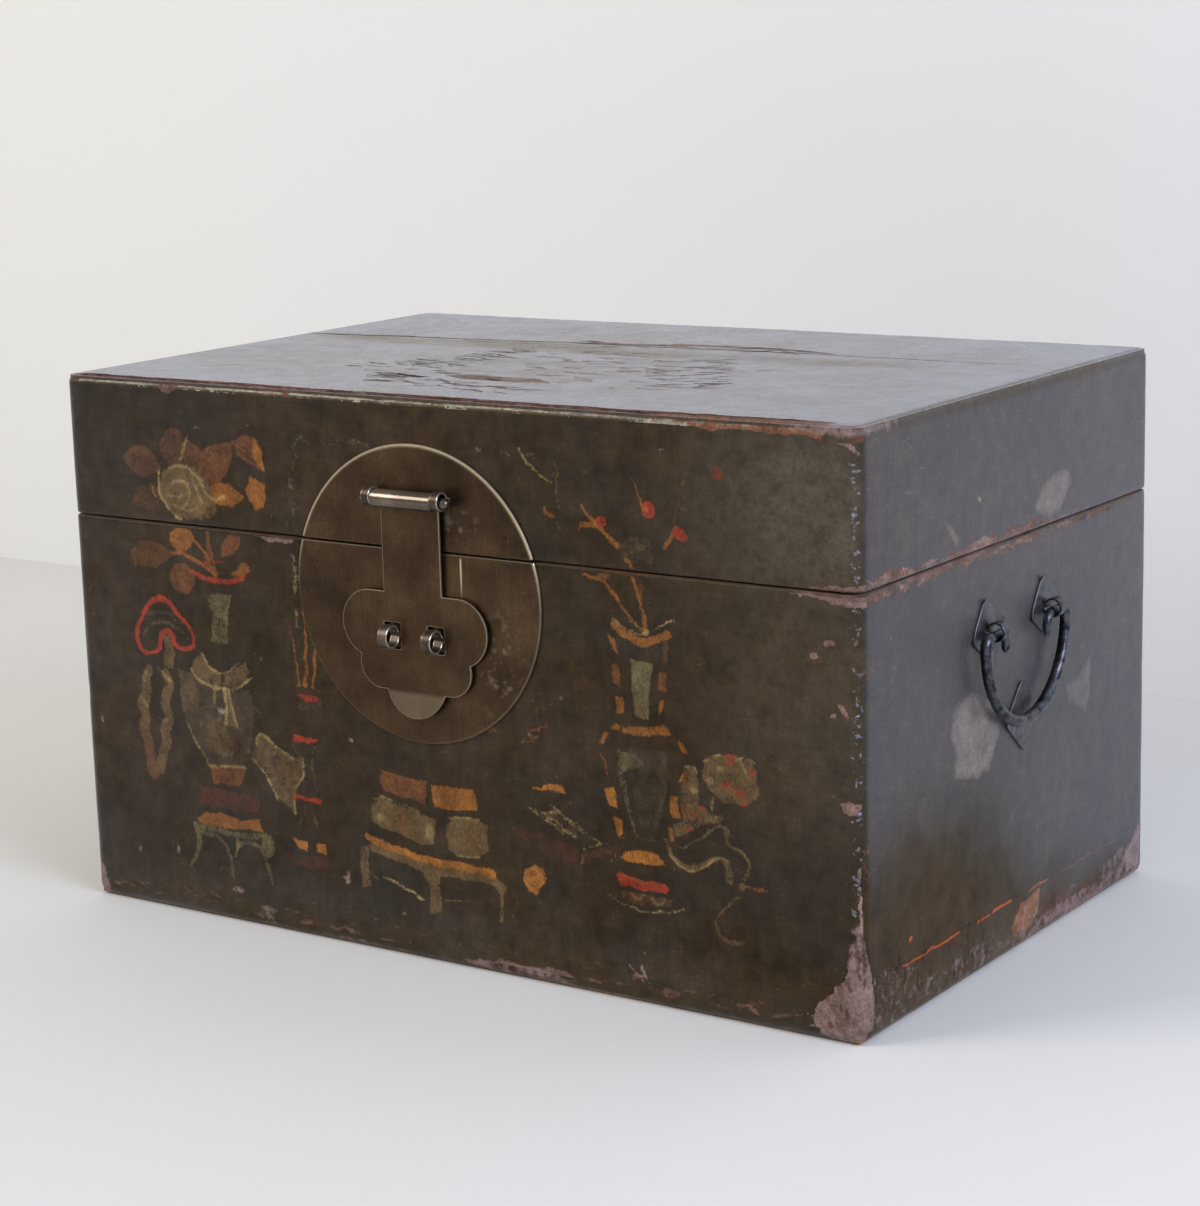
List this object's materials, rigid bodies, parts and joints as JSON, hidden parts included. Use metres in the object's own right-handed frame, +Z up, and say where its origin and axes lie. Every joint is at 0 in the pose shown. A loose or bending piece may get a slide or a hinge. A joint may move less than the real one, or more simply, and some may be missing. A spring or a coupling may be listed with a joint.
{
  "type": "storage trunk",
  "caption": "Low rectangular trunk of jointed boards in painted dark lacquer, with a hinged lid, a round lock plate, a swinging hasp over padlock loops and a wire bail at each end.",
  "frame": {"origin": "middle of the case's underside, where the trunk stands on the floor", "axes": "+X to the trunk's right, -Y to its front with the lock, +Z up"},
  "size_m": [0.5854, 0.39, 0.3354],
  "materials": {
    "lacquer_skin": "dark brown-black lacquer over cloth, worn at the edges, with faded painted ornament",
    "board_wood": "old planed softwood, unvarnished inside",
    "rim_wood": "old planed softwood",
    "lock_brass": "dark brown patinated sheet brass with bright worn edges",
    "pin_brass": "rubbed brass",
    "hinge_brass": "dark patinated brass",
    "handle_iron": "blue-black forged iron, rubbed bright on the curves"
  },
  "bodies": {
    "case": {"case_front": "board_wood", "case_back": "board_wood", "case_left": "board_wood", "case_left_strip": "board_wood", "case_right": "board_wood", "case_right_strip": "board_wood", "case_bottom": "board_wood", "rim_front": "rim_wood", "rim_back": "rim_wood", "rim_left": "rim_wood", "rim_right": "rim_wood", "case_skin": "lacquer_skin", "lock_plate_lower": "lock_brass", "padlock_loop_left": "lock_brass", "padlock_loop_right": "lock_brass", "hinge_leaf_case_left": "hinge_brass", "hinge_leaf_case_right": "hinge_brass", "hinge_pin_left": "hinge_brass", "hinge_pin_right": "hinge_brass", "eye_plate_left_front": "handle_iron", "eye_plate_left_back": "handle_iron", "strike_plate_left": "handle_iron", "eye_left_front": "handle_iron", "eye_left_back": "handle_iron", "eye_plate_right_front": "handle_iron", "eye_plate_right_back": "handle_iron", "strike_plate_right": "handle_iron", "eye_right_front": "handle_iron", "eye_right_back": "handle_iron"},
    "lid": {"lid_front": "board_wood", "lid_back": "board_wood", "lid_left": "board_wood", "lid_right": "board_wood", "lid_top_front": "board_wood", "lid_top_back": "board_wood", "lid_skin": "lacquer_skin", "lock_plate_upper": "lock_brass", "hasp_eye_left": "lock_brass", "hasp_eye_right": "lock_brass", "hasp_pin": "pin_brass", "hinge_leaf_lid_left": "hinge_brass", "hinge_leaf_lid_right": "hinge_brass"},
    "hasp": {"hasp": "lock_brass"},
    "bail_left": {"bail_left": "handle_iron"},
    "bail_right": {"bail_right": "handle_iron"}
  },
  "joints": [
    {"name": "lid_hinge", "type": "hinge", "parent": "case", "child": "lid", "pos_m": [0, 0.1875, 0.2475], "axis": [-1, 0, 0], "range_deg": [0, 105]},
    {"name": "hasp_swing", "type": "hinge", "parent": "lid", "child": "hasp", "pos_m": [-0.009, -0.1929, 0.2774], "axis": [-1, 0, 0], "range_deg": [0, 180]},
    {"name": "bail_left_swing", "type": "hinge", "parent": "case", "child": "bail_left", "pos_m": [-0.2869, -0.002, 0.199], "axis": [0, 1, 0], "range_deg": [0, 180]},
    {"name": "bail_right_swing", "type": "hinge", "parent": "case", "child": "bail_right", "pos_m": [0.2869, -0.002, 0.199], "axis": [0, -1, 0], "range_deg": [0, 180]}
  ]
}
